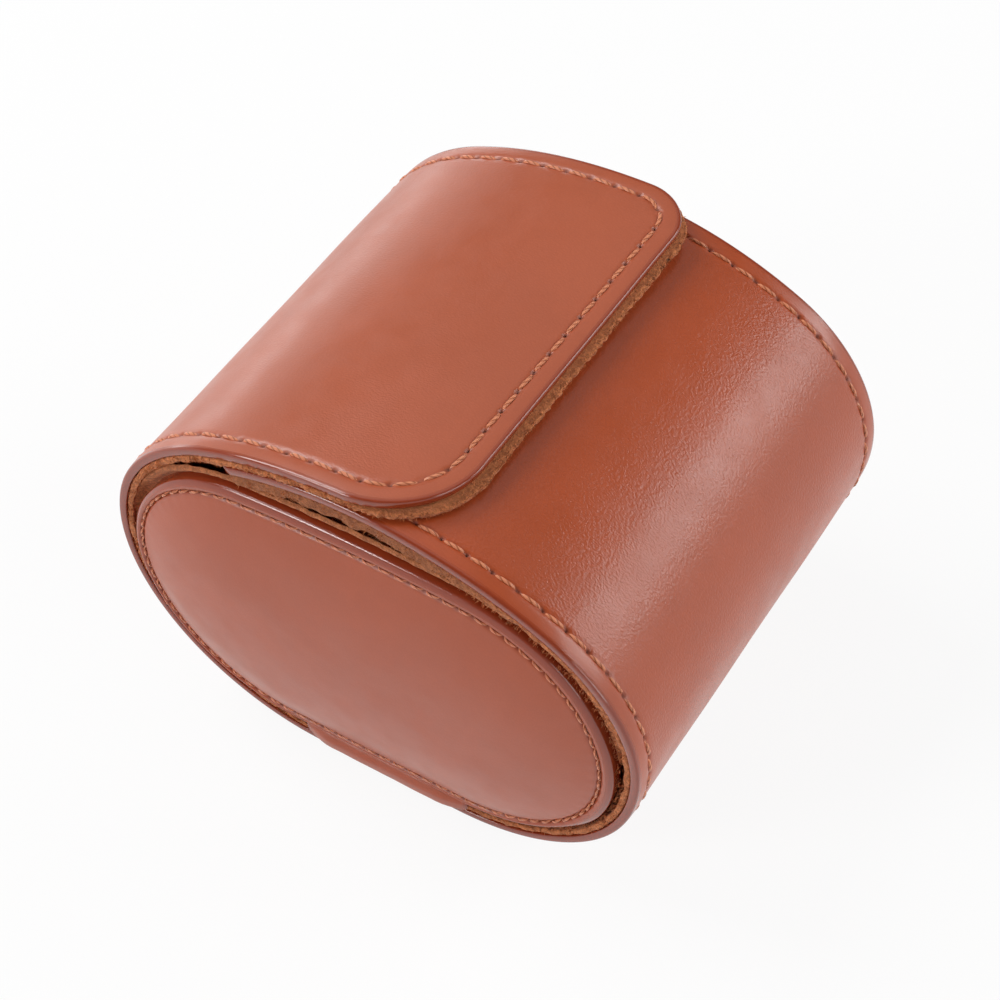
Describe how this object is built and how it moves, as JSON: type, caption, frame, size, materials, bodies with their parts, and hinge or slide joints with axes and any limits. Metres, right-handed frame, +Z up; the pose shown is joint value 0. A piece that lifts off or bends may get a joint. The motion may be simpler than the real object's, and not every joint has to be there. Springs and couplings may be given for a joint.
{
  "type": "watch travel case",
  "caption": "Oval leather roll that carries one wristwatch on a pillow; its flap, back and front fold open and its padded end panels fold out.",
  "frame": {"origin": "on the surface that the case stands on, under the middle of its outline", "axes": "+X along the roll from one end panel to the other, +Y across it towards the back fold, +Z up; the flap's free edge faces -Y"},
  "size_m": [0.0898, 0.1, 0.0746],
  "materials": {
    "wrap_leather": "smooth cognac leather, semi-gloss, turned and burnished edges",
    "end_leather": "smooth cognac leather over soft padding, satin",
    "suede": "raw tan suede",
    "board": "stiff grey-brown board",
    "foam": "soft open foam",
    "magnet": "nickel plated",
    "keeper": "plain steel sheet"
  },
  "bodies": {
    "base": {"base_leather": "wrap_leather", "base_board": "board", "base_lining": "suede", "left_hinge_tab": "wrap_leather", "right_hinge_tab": "wrap_leather"},
    "back": {"back_leather": "wrap_leather", "back_board": "board", "back_lining": "suede"},
    "flap": {"flap_leather": "wrap_leather", "flap_board": "board", "flap_lining": "suede", "flap_magnet": "magnet"},
    "front": {"front_leather": "wrap_leather", "front_board": "board", "front_lining": "suede", "front_keeper_plate": "keeper"},
    "left_end": {"left_end_leather": "end_leather", "left_end_pad": "foam", "left_end_board": "board", "left_end_lining": "suede"},
    "right_end": {"right_end_leather": "end_leather", "right_end_pad": "foam", "right_end_board": "board", "right_end_lining": "suede"},
    "pillow": {"pillow_sleeve": "suede", "pillow_foam": "foam", "pillow_left_cap": "suede", "pillow_right_cap": "suede"}
  },
  "joints": [
    {"name": "back_fold", "type": "hinge", "parent": "base", "child": "back", "pos_m": [0, 0.05, 0.0359], "axis": [-1, 0, 0], "range_deg": [0, 125]},
    {"name": "flap_lift", "type": "hinge", "parent": "back", "child": "flap", "pos_m": [0, 0.02782, 0.06908], "axis": [-1, 0, 0], "range_deg": [0, 75]},
    {"name": "front_fold", "type": "hinge", "parent": "base", "child": "front", "pos_m": [0, -0.05, 0.0359], "axis": [1, 0, 0], "range_deg": [0, 75]},
    {"name": "left_end_fold", "type": "hinge", "parent": "base", "child": "left_end", "pos_m": [-0.0415, 0, 0.0047], "axis": [0, -1, 0], "range_deg": [0, 85]},
    {"name": "right_end_fold", "type": "hinge", "parent": "base", "child": "right_end", "pos_m": [0.0415, 0, 0.0047], "axis": [0, 1, 0], "range_deg": [0, 85]},
    {"name": "pillow_lift", "type": "slide", "parent": "base", "child": "pillow", "axis": [0, 0, 1], "range_m": [0, 0.062]}
  ],
  "couplings": [
    {"joint": "front_fold", "follows": "back_fold", "ratio": 0.6},
    {"joint": "pillow_lift", "follows": "back_fold", "m_per_rad": 0.0284}
  ]
}
